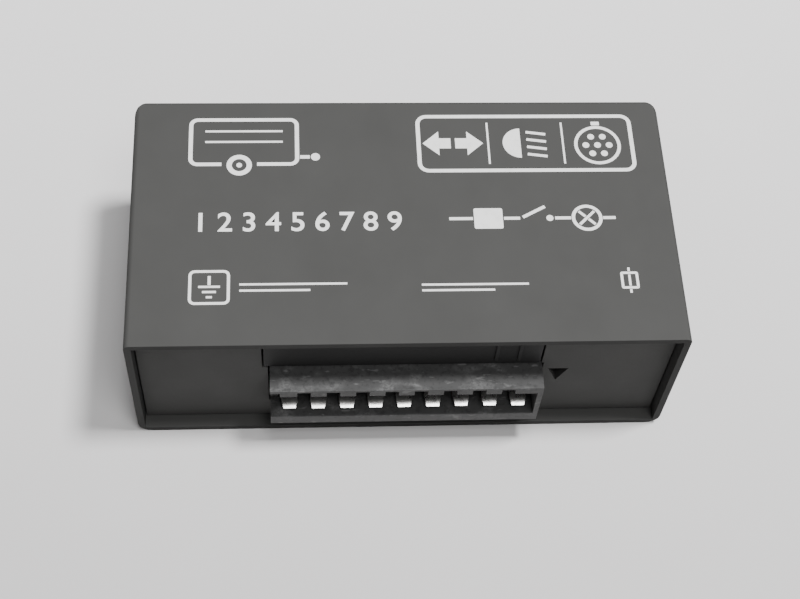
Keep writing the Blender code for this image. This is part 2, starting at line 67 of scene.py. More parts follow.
class Shader:
    """A Principled material, with short ways to add procedural nodes to it.

    Texture coordinates are millimetres in the piece's own frame.
    """

    def __init__(self, name, roughness=0.5, **sockets):
        self.material = bpy.data.materials.new(name)
        self.material.use_nodes = True
        self.tree = self.material.node_tree
        self.bsdf = self.tree.nodes["Principled BSDF"]
        self.bsdf.inputs["Roughness"].default_value = roughness
        for socket, value in sockets.items():
            self.bsdf.inputs[socket.replace("_", " ")].default_value = value
        self.coordinates = self.tree.nodes.new("ShaderNodeTexCoord")
        metres = self.coordinates.outputs["Object"]
        self.mm = self.maths("MULTIPLY", metres, (1000, 1000, 1000), vector=True)

    def node(self, kind, **settings):
        made = self.tree.nodes.new(kind)
        for key, value in settings.items():
            setattr(made, key, value)
        return made

    def feed(self, socket, value):
        """Link an output into a socket, or set the socket to a plain value."""
        if isinstance(value, bpy.types.NodeSocket):
            self.tree.links.new(value, socket)
        else:
            socket.default_value = value

    def maths(self, operation, first, second=0.0, vector=False):
        kind = "ShaderNodeVectorMath" if vector else "ShaderNodeMath"
        made = self.node(kind, operation=operation)
        self.feed(made.inputs[0], first)
        self.feed(made.inputs[1], second)
        name = "Value" if operation in ("DOT_PRODUCT", "LENGTH") or not vector else "Vector"
        return made.outputs[name]

    def axis(self, letter, source=None):
        """One component of the position in millimetres, or of another vector."""
        made = self.node("ShaderNodeSeparateXYZ")
        self.feed(made.inputs[0], source or self.mm)
        return made.outputs[letter]

    def noise(self, size, detail=3.0, stretch=(1, 1, 1), turn=0.0, roughness=0.5):
        """Cloudy noise, 0 to 1, with features about `size` millimetres wide."""
        place = self.node("ShaderNodeMapping")
        self.feed(place.inputs["Vector"], self.mm)
        place.inputs["Rotation"].default_value = (0, 0, math.radians(turn))
        place.inputs["Scale"].default_value = stretch
        made = self.node("ShaderNodeTexNoise")
        self.feed(made.inputs["Vector"], place.outputs["Vector"])
        made.inputs["Scale"].default_value = 1 / size
        made.inputs["Detail"].default_value = detail
        made.inputs["Roughness"].default_value = roughness
        return made.outputs["Fac"]

    def lines(self, pitch, direction="Z"):
        """Smooth parallel ridges, 0 to 1, across one axis."""
        made = self.node("ShaderNodeTexWave", wave_type="BANDS", bands_direction=direction)
        self.feed(made.inputs["Vector"], self.mm)
        made.inputs["Scale"].default_value = math.pi / 10 / pitch
        return made.outputs["Fac"]

    def remap(self, value, low, high, to_low=0.0, to_high=1.0):
        made = self.node("ShaderNodeMapRange")
        self.feed(made.inputs["Value"], value)
        made.inputs["From Min"].default_value = low
        made.inputs["From Max"].default_value = high
        made.inputs["To Min"].default_value = to_low
        made.inputs["To Max"].default_value = to_high
        return made.outputs["Result"]

    def times(self, first, second):
        return self.maths("MULTIPLY", first, second)

    def mix(self, factor, first, second):
        """Colour between two others."""
        made = self.node("ShaderNodeMix", data_type="RGBA")
        self.feed(made.inputs["Factor"], factor)
        inputs = [socket for socket in made.inputs if socket.type == "RGBA"]
        for socket, colour in zip(inputs, (first, second)):
            self.feed(socket, colour if isinstance(colour, bpy.types.NodeSocket) else (*colour, 1.0))
        return next(socket for socket in made.outputs if socket.type == "RGBA")

    def edge(self, radius):
        """1 near sharp edges and 0 on open faces."""
        rounded = self.node("ShaderNodeBevel", samples=4)
        rounded.inputs["Radius"].default_value = radius * MM
        face = self.node("ShaderNodeNewGeometry")
        agree = self.maths("DOT_PRODUCT", rounded.outputs["Normal"], face.outputs["Normal"], vector=True)
        return self.remap(agree, 0.98, 0.75)

    def bump(self, height, depth):
        """Raise the surface by `depth` millimetres where height is 1."""
        made = self.node("ShaderNodeBump")
        self.feed(made.inputs["Height"], height)
        made.inputs["Distance"].default_value = depth * MM
        self.feed(self.bsdf.inputs["Normal"], made.outputs["Normal"])

    def colour(self, value):
        self.feed(self.bsdf.inputs["Base Color"], value)

    def roughness(self, value):
        self.feed(self.bsdf.inputs["Roughness"], value)


def scaled(colour, factor):
    return tuple(min(1.0, channel * factor) for channel in colour)


def moulded(name, colour, roughness=0.7, grain=0.22, depth=0.006, edge_wear_and_highlight=1.5, painted_top_light=1.0):
    """Moulded plastic: eroded grain, faint cloudiness, and edges painted lighter, partly as wear and partly
    as a painted highlight.

    Faces that look up are painted lighter than the sides by the given factor, with a faint patchiness:
    painted top light, as if the top were lit more than the sides.
    """
    shader = Shader(name, roughness, Specular_IOR_Level=0.25)
    cloud = shader.noise(14, detail=4)
    base = shader.mix(cloud, scaled(colour, 0.95), scaled(colour, 1.05))
    speck = shader.remap(shader.noise(0.5, detail=2), 0.35, 0.7, 0, 0.35)
    base = shader.mix(speck, base, scaled(colour, 1.18))
    # Painted top light: faces that look up are painted lighter than the sides, with a faint patchiness.
    if painted_top_light > 1:
        painted_top_light_mask = shader.remap(shader.axis("Z", shader.coordinates.outputs["Normal"]), 0.25, 0.95)
        top_light_patchiness = shader.remap(shader.noise(7, detail=5), 0.25, 0.75, 0.85, 1.0)
        base = shader.mix(shader.times(painted_top_light_mask, top_light_patchiness), base, scaled(colour, painted_top_light))
    # Edges painted lighter in patches: partly wear, partly a painted highlight.
    patchy = shader.remap(shader.noise(2.2), 0.35, 0.65, 0.25, 1)
    worn_and_highlit_edges = shader.times(shader.edge(0.35), patchy)
    base = shader.mix(shader.times(worn_and_highlit_edges, 0.4), base, scaled(colour, edge_wear_and_highlight))
    shader.colour(base)
    smear = shader.noise(9, detail=5, stretch=(1, 0.5, 1))
    shader.roughness(shader.remap(smear, 0.3, 0.7, roughness - 0.05, roughness + 0.06))
    shader.bump(shader.noise(grain, detail=2), depth)
    return shader.material


def scuffed(name, colour):
    """Satin moulding that plugs have rubbed: pale smears, short scratches, and edges painted lighter,
    partly as wear and partly as a painted highlight.
    """
    shader = Shader(name, 0.55, Specular_IOR_Level=0.22)
    base = shader.mix(shader.noise(5, detail=4), scaled(colour, 0.8), scaled(colour, 1.25))
    blotch = shader.remap(shader.noise(3.4, detail=2, stretch=(0.8, 1.1, 1), turn=35), 0.52, 0.72)
    streak = shader.remap(shader.noise(0.4, detail=3, roughness=0.65), 0.35, 0.6, 0.2, 1)
    smear = shader.times(blotch, streak)
    base = shader.mix(shader.times(smear, 0.9), base, scaled(colour, 2.7))
    scratch = shader.remap(shader.noise(1.2, detail=2, stretch=(0.5, 1.6, 1), turn=-50), 0.62, 0.7)
    base = shader.mix(shader.times(scratch, 0.5), base, scaled(colour, 3.6))
    grime = shader.remap(shader.noise(0.9, detail=3, roughness=0.7), 0.52, 0.64, 0, 0.5)
    base = shader.mix(grime, base, scaled(colour, 0.4))
    # Edges painted lighter in patches: partly wear, partly a painted highlight.
    nicked_and_highlit_edges = shader.times(shader.edge(0.22), shader.remap(shader.noise(1.1), 0.4, 0.6, 0.2, 1))
    base = shader.mix(shader.times(nicked_and_highlit_edges, 0.5), base, scaled(colour, 2.6))
    shader.colour(base)
    shader.roughness(shader.remap(smear, 0, 1, 0.5, 0.68))
    shader.bump(shader.noise(0.35, detail=3), 0.004)
    return shader.material


def metal(name, colour, roughness, stretch=(1, 1, 1), size=0.4, depth=0.0006, spread=0.08):
    """Drawn, rolled or plated metal, with a grain along one direction and duller patches."""
    shader = Shader(name, roughness, Metallic=1.0)
    shader.colour(shader.mix(shader.noise(3, detail=4), scaled(colour, 0.86), scaled(colour, 1.06)))
    grain = shader.noise(size, detail=4, stretch=stretch)
    shader.roughness(shader.remap(grain, 0.3, 0.7, roughness - spread, roughness + spread))
    shader.bump(grain, depth)
    return shader.material


def laminate(name):
    """Green solder mask over woven glass, with the pale fibre showing at the board's cut edges."""
    shader = Shader(name, 0.32, Coat_Weight=0.25)
    mask = shader.mix(shader.noise(6, detail=3), (0.008, 0.075, 0.032), (0.012, 0.1, 0.045))
    weave = shader.times(shader.lines(0.55, "X"), shader.lines(0.55, "Y"))
    mask = shader.mix(shader.times(weave, 0.25), mask, (0.02, 0.14, 0.065))
    upright = shader.maths("ABSOLUTE", shader.axis("Z", shader.coordinates.outputs["Normal"]))
    fibre = shader.mix(shader.lines(0.2, "Z"), (0.30, 0.27, 0.13), (0.42, 0.38, 0.2))
    shader.colour(shader.mix(shader.remap(upright, 0.4, 0.7), fibre, mask))
    shader.bump(weave, 0.006)
    return shader.material


def clear_cover(name):
    """Faintly tinted clear moulding with handling marks."""
    shader = Shader(name, 0.06, Transmission_Weight=1.0, IOR=1.35)
    shader.colour(shader.mix(shader.noise(8), (0.72, 0.76, 0.78), (0.80, 0.84, 0.86)))
    marks = shader.noise(4, detail=6, stretch=(1, 0.4, 1), turn=20)
    shader.roughness(shader.remap(marks, 0.45, 0.8, 0.02, 0.16))
    shader.bump(shader.noise(1.8, detail=2), 0.0015)
    return shader.material


def wound(name, colour, pitch):
    """Enamelled wire, with a cloudy colour, painted darker in the grooves between turns: painted shade."""
    shader = Shader(name, 0.3, Metallic=0.9, Coat_Weight=0.6)
    turns = shader.lines(pitch, "Z")
    base = shader.mix(shader.noise(0.8, detail=4), scaled(colour, 0.7), colour)
    # Painted shade: the colour darkens in the grooves between turns, where the bump is lowest.
    shader.colour(shader.mix(turns, scaled(colour, 0.6), base))
    shader.bump(turns, 0.02)
    return shader.material


def grained(name, colour, roughness, size=0.15, depth=0.01):
    """Filled epoxy, ferrite, ceramic and the like: a fine even tooth."""
    shader = Shader(name, roughness)
    speck = shader.noise(size, detail=3)
    base = shader.mix(speck, scaled(colour, 0.78), scaled(colour, 1.25))
    # Edges painted lighter: partly wear, partly a painted highlight.
    shader.colour(shader.mix(shader.times(shader.edge(0.15), 0.4), base, scaled(colour, 2.0)))
    shader.roughness(shader.remap(shader.noise(2), 0.3, 0.7, roughness - 0.05, roughness + 0.08))
    shader.bump(speck, depth)
    return shader.material


def printed(name):
    """White pad print: dense, with pinholes and slightly thin patches."""
    shader = Shader(name, 0.5, Specular_IOR_Level=0.35)
    thin = shader.remap(shader.noise(1.6, detail=5), 0.5, 0.8, 0, 0.3)
    ink = shader.mix(thin, (0.86, 0.86, 0.85), (0.5, 0.5, 0.49))
    pinhole = shader.remap(shader.noise(0.16, detail=1), 0.7, 0.76, 0, 0.7)
    shader.colour(shader.mix(pinhole, ink, (0.25, 0.25, 0.245)))
    shader.bump(shader.noise(0.22, detail=2), 0.004)
    return shader.material


MATERIALS = {
    # The sleeve's up-facing faces are painted twice as light as its sides: painted top light.
    "sleeve_plastic": moulded("sleeve_moulding", (0.027, 0.027, 0.0262), 0.76, painted_top_light=2.0),
    "panel_plastic": moulded("panel_moulding", (0.044, 0.044, 0.0424), 0.72),
    "connector_plastic": scuffed("connector_moulding", (0.045, 0.045, 0.045)),
    # The latch plate is moulded very dark, and its dark stands in partly for the shade of the pocket above
    # the header: partly painted shade.
    "latch_plastic": moulded(
        "latch_moulding_dark_painted_shade", (0.0225, 0.0225, 0.0225), 0.7, grain=0.3, depth=0.004, edge_wear_and_highlight=2.0
    ),
    "tinned_copper": metal(
        "bright_tin", (0.92, 0.91, 0.89), 0.3, stretch=(1, 0.5, 1), size=0.9, depth=0.0001, spread=0.04
    ),
    "board_laminate": laminate("solder_mask"),
    "masked_copper": grained("masked_copper", (0.03, 0.2, 0.09), 0.3, size=1.5, depth=0.002),
    "relay_plastic": moulded("relay_base_moulding", (0.03, 0.03, 0.033), 0.5),
    "relay_cover": clear_cover("smoke_polycarbonate"),
    "bobbin_plastic": moulded("natural_nylon", (0.62, 0.57, 0.44), 0.45, edge_wear_and_highlight=1.1),
    "copper_wire": wound("enamelled_copper", (0.72, 0.27, 0.1), 0.24),
    "plated_steel": metal(
        "nickel_plate", (0.6, 0.59, 0.56), 0.32, stretch=(0.5, 2, 2), depth=0.0002, spread=0.04
    ),
    "chip_plastic": grained("filled_epoxy", (0.022, 0.022, 0.024), 0.6),
    "ferrite": grained("coated_ferrite", (0.05, 0.055, 0.06), 0.65, size=0.3, depth=0.02),
    "capacitor_can": metal(
        "drawn_aluminium", (0.74, 0.75, 0.77), 0.3, stretch=(1.5, 1.5, 0.3), depth=0.0002, spread=0.04
    ),
    "buzzer_plastic": moulded("sounder_moulding", (0.028, 0.028, 0.028), 0.5),
    "brass": metal(
        "rolled_brass", (0.78, 0.55, 0.22), 0.28, stretch=(0.6, 2, 0.6), depth=0.0002, spread=0.05
    ),
    "print_ink": printed("white_print"),
    "solder": metal("solder_tin", (0.74, 0.74, 0.73), 0.24, size=0.9, depth=0.002, spread=0.05),
    "ceramic": grained("fired_ceramic", (0.44, 0.33, 0.22), 0.45, size=0.2, depth=0.004),
}

# ---------------------------------------------------------------- mesh helpers


def piece(name, bm, slot, body, replaced=(), sharp=35, finish=None):
    """Finish a bmesh as a visible piece that rides on a body.

    Its material is the slot's own, unless another finish is named.
    """
    mesh = bpy.data.meshes.new(name)
    bm.to_mesh(mesh)
    bm.free()
    mesh.shade_smooth()
    mesh.set_sharp_from_angle(angle=math.radians(sharp))
    mesh.materials.append(MATERIALS[finish or slot])
    obj = bpy.data.objects.new(name, mesh)
    bpy.context.scene.collection.objects.link(obj)
    even = obj.modifiers.new("even_normals", "WEIGHTED_NORMAL")
    even.keep_sharp = True
    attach(obj, body)
    if replaced:
        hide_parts(*replaced)
    return obj


def sharp_edges(bm, angle=30):
    limit = math.radians(angle)
    return [edge for edge in bm.edges if len(edge.link_faces) == 2 and edge.calc_face_angle() > limit]


def round_edges(bm, edges, width, segments=2):
    bmesh.ops.bevel(
        bm,
        geom=edges,
        offset=width * MM,
        segments=segments,
        profile=0.5,
        affect="EDGES",
        clamp_overlap=True,
    )


def cad_shape(node):
    """A CAD node's own shape, with its triangles merged back into flat faces."""
    bm = bmesh.new()
    bm.from_mesh(frame["nodes"][node].data)
    bmesh.ops.remove_doubles(bm, verts=bm.verts, dist=0.002 * MM)
    bmesh.ops.dissolve_limit(bm, angle_limit=math.radians(1), verts=bm.verts, edges=bm.edges)
    return bm


def in_place_of(node, bm):
    """Finish a bmesh as the piece that stands for one CAD node, on its body and in its slot."""
    piece(f"{node}_fine", bm, SLOT_OF[node], BODY_OF[node], (node,))


def refined(node, width, segments=2):
    """A piece with a CAD node's own shape and its sharp edges rounded."""
    bm = cad_shape(node)
    if width:
        round_edges(bm, sharp_edges(bm), width, segments)
    in_place_of(node, bm)


def block(bm, low, high, bevel=0.0, segments=2):
    """A box between two corners, in metres, with rounded edges."""
    low = Vector(low)
    high = Vector(high)
    verts = bmesh.ops.create_cube(bm, size=1)["verts"]
    bmesh.ops.scale(bm, vec=high - low, verts=verts)
    bmesh.ops.translate(bm, vec=(low + high) / 2, verts=verts)
    if bevel:
        edges = list({edge for vert in verts for edge in vert.link_edges})
        round_edges(bm, edges, bevel, segments)
        return None
    return verts


def ribbon(bm, points, width, low, high, closed=False, matrix=None):
    """A raised line of even width through flat points, with mitred corners, from low to high."""
    count = len(points)
    rows = []
    for index, point in enumerate(points):
        directions = []
        if index or closed:
            directions.append((point - points[index - 1]).normalized())
        if index < count - 1 or closed:
            directions.append((points[(index + 1) % count] - point).normalized())
        mean = sum(directions, Vector((0, 0))).normalized()
        across = Vector((-mean.y, mean.x))
        first_across = Vector((-directions[0].y, directions[0].x))
        reach = across * (width / 2 / max(0.4, across.dot(first_across)))
        left = point + reach
        right = point - reach
        corners = [(*left, low), (*left, high), (*right, high), (*right, low)]
        if matrix:
            corners = [matrix @ Vector(corner) for corner in corners]
        rows.append([bm.verts.new(corner) for corner in corners])
    made = []
    for index in range(count if closed else count - 1):
        here = rows[index]
        there = rows[(index + 1) % count]
        for side in range(4):
            other = (side + 1) % 4
            made.append(bm.faces.new((here[side], here[other], there[other], there[side])))
    if not closed:
        made.append(bm.faces.new(rows[0][::-1]))
        made.append(bm.faces.new(rows[-1]))
    bmesh.ops.recalc_face_normals(bm, faces=made)


def plate(bm, outline, low, high):
    """A flat plate with the given outline, between two heights."""
    lower = [bm.verts.new((*point, low)) for point in outline]
    upper = [bm.verts.new((*point, high)) for point in outline]
    made = [bm.faces.new(upper), bm.faces.new(lower[::-1])]
    for index in range(len(outline)):
        other = (index + 1) % len(outline)
        made.append(bm.faces.new((lower[index], lower[other], upper[other], upper[index])))
    bmesh.ops.recalc_face_normals(bm, faces=made)
    return made


def arc(centre, radius, start, end, steps):
    """Points on an arc between two angles in degrees, both ends included."""
    points = []
    for step in range(steps + 1):
        angle = math.radians(start + (end - start) * step / steps)
        points.append(Vector(centre) + radius * Vector((math.cos(angle), math.sin(angle))))
    return points


def circle(centre, radius, steps=32):
    return arc(centre, radius, 0, 360, steps)[:-1]


def rounded_outline(centre, size, radius, steps=6):
    """Outline of a rectangle with round corners, running anticlockwise."""
    points = []
    for quarter, (side_x, side_y) in enumerate(((1, 1), (-1, 1), (-1, -1), (1, -1))):
        corner = Vector(centre) + Vector((side_x * (size[0] / 2 - radius), side_y * (size[1] / 2 - radius)))
        points += arc(corner, radius, 90 * quarter, 90 * (quarter + 1), steps)
    return points


def turned(bm, profile, place, steps=40):
    """A turned solid about an upright axis; the profile is (radius, height) pairs in millimetres."""
    rings = []
    for radius, height in profile:
        ring = circle((place[0], place[1]), max(radius, 0.01) * MM, steps)
        rings.append([bm.verts.new((*point, place[2] + height * MM)) for point in ring])
    made = [bm.faces.new(rings[0][::-1]), bm.faces.new(rings[-1])]
    for here, there in zip(rings, rings[1:]):
        for index in range(steps):
            other = (index + 1) % steps
            made.append(bm.faces.new((here[index], here[other], there[other], there[index])))
    bmesh.ops.recalc_face_normals(bm, faces=made)


def tube(bm, points, radius, sides=8):
    """A round wire through points in space, with flat ends."""
    rings = []
    side = None
    for index, point in enumerate(points):
        ahead = points[min(index + 1, len(points) - 1)]
        behind = points[max(index - 1, 0)]
        along = (ahead - behind).normalized()
        if side is None:
            side = along.orthogonal().normalized()
        side = (side - along * side.dot(along)).normalized()
        up = along.cross(side)
        ring = []
        for turn in range(sides):
            angle = 2 * math.pi * turn / sides
            ring.append(bm.verts.new(point + radius * (math.cos(angle) * side + math.sin(angle) * up)))
        rings.append(ring)
    made = [bm.faces.new(rings[0][::-1]), bm.faces.new(rings[-1])]
    for here, there in zip(rings, rings[1:]):
        for index in range(sides):
            other = (index + 1) % sides
            made.append(bm.faces.new((here[index], here[other], there[other], there[index])))
    bmesh.ops.recalc_face_normals(bm, faces=made)


# ---------------------------------------------------------------- housing, panel and connector

# How close to a face a corner lies to count as on it, and the rounding of the mouth's corners in
# millimetres. A blade's tip is coined thin, which spreads it sideways by the factor given.
NEAR = 0.05 * MM
RIM_ROUNDING = 0.9
TIP_THICKNESS = 0.14 * MM
TIP_SPREAD = 1.02
RIB_PLACES = (15.2, 19.1)


def sleeve():
    """The sleeve, with the outer corners of its front rim rounded over."""
    bm = cad_shape("housing_sleeve")

    def on_outer_side(vert):
        reach = min(vert.co.x - SLEEVE_LOW.x, SLEEVE_HIGH.x - vert.co.x)
        return vert.co.y < SLEEVE_LOW.y + NEAR and reach < NEAR

    side_rims = [edge for edge in bm.edges if all(on_outer_side(vert) for vert in edge.verts)]
    round_edges(bm, side_rims, RIM_ROUNDING, 5)
    round_edges(bm, sharp_edges(bm), 0.18)
    in_place_of("housing_sleeve", bm)


def blade(node):
    """A flat tab whose end is coined to a slope on its upper side, as a lead-in for the plug."""
    low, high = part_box(node)
    bm = cad_shape(node)
    shoulder = [vert for vert in bm.verts if low.y + 0.5 * MM < vert.co.y < low.y + 2.2 * MM]
    bottom = min(vert.co.z for vert in shoulder)
    middle = (low.x + high.x) / 2
    for vert in bm.verts:
        if vert.co.y < low.y + NEAR:
            vert.co.x = middle + (vert.co.x - middle) * TIP_SPREAD
            upper = vert.co.z > bottom + 0.4 * MM
            vert.co.z = bottom + (TIP_THICKNESS if upper else 0)
    round_edges(bm, sharp_edges(bm, 20), 0.08)
    in_place_of(node, bm)


def latch_ribs():
    """Two upright stiffening ribs on the right part of the latch plate."""
    low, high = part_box("latch_plate")
    bm = bmesh.new()
    for x in RIB_PLACES:
        corner = (x * MM - 0.3 * MM, low.y - 0.4 * MM, low.z + 1.6 * MM)
        opposite = (x * MM + 0.3 * MM, low.y + 0.1 * MM, high.z - 2.0 * MM)
        block(bm, corner, opposite, 0.12)
    piece("latch_plate_ribs", bm, "latch_plastic", TRAY)


def casing():
    sleeve()
    refined("front_panel", 0.15)
    refined("latch_plate", 0.15)
    latch_ribs()
    refined("connector_header", 0.14)
    for node in BLADES:
        blade(node)


# ---------------------------------------------------------------- print on the lid

# Millimetres: the ink's lift off the lid and its thickness, the widths of its lines, and the height,
# place and pitch of the row of digits
LIFT = 0.004
INK = 0.03
HEAVY = 0.72
FINE = 0.42
DIGIT_SIZE = 5.4
FIRST_DIGIT = (-34.9, -2.8)
DIGIT_PITCH = 4.15


class Print:
    """White marks on the lid, in millimetres from the lid's centre."""

    def __init__(self):
        self.bm = bmesh.new()
        self.low = SLEEVE_HIGH.z + LIFT * MM
        self.high = self.low + INK * MM

    def place(self, points):
        return [Vector((SLEEVE_CENTRE.x + x * MM, SLEEVE_CENTRE.y + y * MM)) for x, y in points]

    def line(self, points, width, closed=False):
        ribbon(self.bm, self.place(points), width * MM, self.low, self.high, closed)

    def fill(self, points):
        plate(self.bm, self.place(points), self.low, self.high)


def trailer_mark(ink):
    """Side view of a plain box trailer, with its drawbar to the right."""
    steps = 6
    wheel = (-28.4, 10.9)
    gap = 3.1
    outline = [tuple(point) for point in rounded_outline((-27.6, 15.9), (18.6, 9.6), 1.2, steps)]
    corner = 3 * (steps + 1)
    path = [(wheel[0] + gap, 11.1)] + outline[corner:] + outline[:corner] + [(wheel[0] - gap, 11.1)]
    ink.line(path, HEAVY)
    ink.line(circle(wheel, 1.75), 0.9, closed=True)
    ink.fill(circle(wheel, 0.5, 16))
    ink.line([(-17.8, 12.6), (-16.1, 12.6)], HEAVY)
    ink.fill(circle((-15.1, 12.6), 0.8, 20))
    ink.line([(-34.4, 18.2), (-20.8, 18.2)], FINE)
    ink.line([(-34.4, 15.9), (-20.8, 15.9)], FINE)


def turn_arrow(ink, x, y, way):
    """Solid arrow head with a short shaft, pointing left (-1) or right (1)."""
    outline = [(0, -2.6), (2.9, 0), (0, 2.6), (0, 1.1), (-2.1, 1.1), (-2.1, -1.1), (0, -1.1)]
    ink.fill([(x + way * u, y + v) for u, v in outline][::way])


def lamp(ink, x, y):
    """Solid lamp with four rays."""
    ink.fill([(x + point.x, y + point.y) for point in arc((0, 0), 3.2, 90, 270, 20)])
    for row in range(4):
        level = y + 2.4 - 1.6 * row
        ink.line([(x + 1.1, level), (x + 4.6, level - 0.5)], 0.55)


def plug_face(ink, x, y):
    """Round plug seen from its face: a ring, a key and seven contacts."""
    ink.line(circle((x, y), 3.9), 0.6, closed=True)
    ink.fill(circle((x, y), 0.62, 16))
    for contact in arc((x, y), 2.1, 60, 360, 5):
        ink.fill(circle(contact, 0.62, 16))
    ink.fill(rounded_outline((x, y + 4.75), (1.5, 0.8), 0.1, 2))


def function_marks(ink):
    """Turn lamps, tail lamp and plug in one frame."""
    ink.line(rounded_outline((22.3, 15.4), (38.2, 11.8), 1.6), HEAVY, closed=True)
    for x in (15.6, 29.0):
        ink.line([(x, 10.9), (x, 19.9)], 0.35)
    turn_arrow(ink, 6.8, 15.4, -1)
    turn_arrow(ink, 11.8, 15.4, 1)
    lamp(ink, 21.4, 15.4)
    plug_face(ink, 35.2, 14.9)


def wiring_mark(ink):
    """Supply line through a coil and a contact to a lamp."""
    y = -0.6
    width = 0.6
    for start, end in ((7.7, 11.8), (17.2, 20.0), (26.1, 28.9), (34.5, 36.7)):
        ink.line([(start, y), (end, y)], width)
    ink.fill(rounded_outline((14.5, y), (5.0, 4.2), 0.3, 2))
    ink.line([(20.5, y + 0.2), (24.5, y + 2.4)], width)
    ink.fill(circle((25.2, y), 0.62, 16))
    x = 31.7
    ink.line(circle((x, y), 2.4), width, closed=True)
    reach = 1.35
    near_painted_shade = 0.26
    ink.line([(x - reach, y - reach), (x + reach, y + reach)], 0.5)
    for way in (-1, 1):
        ink.line([(x - way * near_painted_shade, y + way * near_painted_shade), (x - way * reach, y + way * reach)], 0.5)


def ground_mark(ink):
    """Earth symbol in a square, with two plain rules beside it."""
    ink.line(rounded_outline((-33.2, -13.9), (6.4, 6.2), 0.8, 4), 0.5, closed=True)
    ink.line([(-33.2, -11.7), (-33.2, -13.5)], 0.5)
    for width, y in ((3.6, -13.8), (2.3, -14.8), (1.0, -15.8)):
        ink.line([(-33.2 - width / 2, y), (-33.2 + width / 2, y)], FINE)
    ink.line([(-28.2, -13.4), (-10.2, -13.4)], 0.4)
    ink.line([(-28.2, -14.6), (-16.4, -14.6)], 0.4)


def small_marks(ink):
    """Two rules, and a fuse symbol at the right."""
    ink.line([(2.3, -13.8), (20.4, -13.8)], 0.4)
    ink.line([(2.3, -14.9), (14.6, -14.9)], 0.4)
    ink.line(rounded_outline((37.7, -13.3), (2.6, 2.9), 0.15, 2), 0.45, closed=True)
    for start, end in ((-10.8, -11.5), (-12.2, -14.4), (-15.1, -15.8)):
        ink.line([(37.7, start), (37.7, end)], 0.4)


def pin_numbers():
    """The digits 1 to 9, one for each contact, in a row across the left of the lid."""
    bm = bmesh.new()
    for number in range(1, 10):
        text = bpy.data.curves.new(f"digit_{number}", "FONT")
        text.body = str(number)
        text.size = DIGIT_SIZE * MM
        text.align_x = "CENTER"
        text.extrude = INK * MM / 2
        text.offset = 0.07 * MM
        holder = bpy.data.objects.new(f"digit_{number}", text)
        bpy.context.scene.collection.objects.link(holder)
        depsgraph = bpy.context.evaluated_depsgraph_get()
        outline = bpy.data.meshes.new_from_object(holder.evaluated_get(depsgraph))
        x = SLEEVE_CENTRE.x + (FIRST_DIGIT[0] + DIGIT_PITCH * (number - 1)) * MM
        y = SLEEVE_CENTRE.y + FIRST_DIGIT[1] * MM
        outline.transform(Matrix.Translation((x, y, SLEEVE_HIGH.z + (LIFT + INK / 2) * MM)))
        bm.from_mesh(outline)
        bpy.data.objects.remove(holder)
    bmesh.ops.remove_doubles(bm, verts=bm.verts, dist=0.001 * MM)
    piece("pin_numbers", bm, "print_ink", HOUSING)


def lid_print():
    ink = Print()
    trailer_mark(ink)
    function_marks(ink)
    wiring_mark(ink)
    ground_mark(ink)
    small_marks(ink)
    piece("lid_print", ink.bm, "print_ink", HOUSING)
    pin_numbers()


# ---------------------------------------------------------------- relays


def relay_winding(name):
    """Coil with its turns of fine wire as ripples."""
    low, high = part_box(f"{name}_winding")
    radius = (high.x - low.x) / 2 / MM
    height = (high.z - low.z) / MM
    bore = 3.0
    turns = 24
    profile = [(bore, 0)]
    for step in range(4 * turns + 1):
        ripple = 0.1 * abs(math.sin(math.pi * step / 4))
        profile.append((radius - 0.12 + ripple, height * step / (4 * turns)))
    profile.append((bore, height))
    bm = bmesh.new()
    centre = (low + high) / 2
    turned(bm, profile, (centre.x, centre.y, low.z), 36)
    ends = [face for face in bm.faces if len(face.verts) == 36]
    bmesh.ops.bridge_loops(bm, edges=[edge for face in ends for edge in face.edges])
    bmesh.ops.delete(bm, geom=ends, context="FACES_ONLY")
    bmesh.ops.recalc_face_normals(bm, faces=bm.faces)
    piece(f"{name}_winding_fine", bm, "copper_wire", TRAY, (f"{name}_winding",))


def relays():
    for name in RELAYS:
        refined(f"{name}_cover", 0.12, 1)
        refined(f"{name}_base", 0.2)
        refined(f"{name}_bobbin", 0.12)
        refined(f"{name}_yoke", 0.12)
        refined(f"{name}_armature", 0.1)
        refined(f"{name}_fixed_contact", 0.06)
        refined(f"{name}_return_spring", 0.05)
        relay_winding(name)


# ---------------------------------------------------------------- parts on the board


def body_span(node):
    """Box of a chip's moulded body, without the thin sheet under it."""
    low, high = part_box(node)
    level = low.z + 0.5 * MM
    tall = [vertex.co for vertex in frame["nodes"][node].data.vertices if vertex.co.z > level]
    bottom = low.z + 0.1 * MM
    return (
        Vector((min(point.x for point in tall), min(point.y for point in tall), bottom)),
        Vector((max(point.x for point in tall), max(point.y for point in tall), high.z)),
    )


def chip_body(bm, low, high, draft=0.12):
    """Moulded block whose sides lean in above and below its parting line."""
    middle = (low.z + high.z) / 2
    centre = (low + high) / 2
    for bottom, top, lean_at in ((low.z, middle, low.z), (middle, high.z, high.z)):
        verts = block(bm, (low.x, low.y, bottom), (high.x, high.y, top))
        for vert in verts:
            if abs(vert.co.z - lean_at) < 0.01 * MM:
                vert.co.x -= math.copysign(draft * MM, vert.co.x - centre.x)
                vert.co.y -= math.copysign(draft * MM, vert.co.y - centre.y)
    bmesh.ops.remove_doubles(bm, verts=bm.verts, dist=0.001 * MM)

    def on_parting_line(item):
        return all(abs(vert.co.z - middle) < NEAR / 10 for vert in item.verts)

    inner = [face for face in bm.faces if on_parting_line(face)]
    bmesh.ops.delete(bm, geom=inner, context="FACES_ONLY")
    bm.normal_update()
    rims = [edge for edge in sharp_edges(bm, 50) if not on_parting_line(edge)]
    round_edges(bm, rims, 0.07)


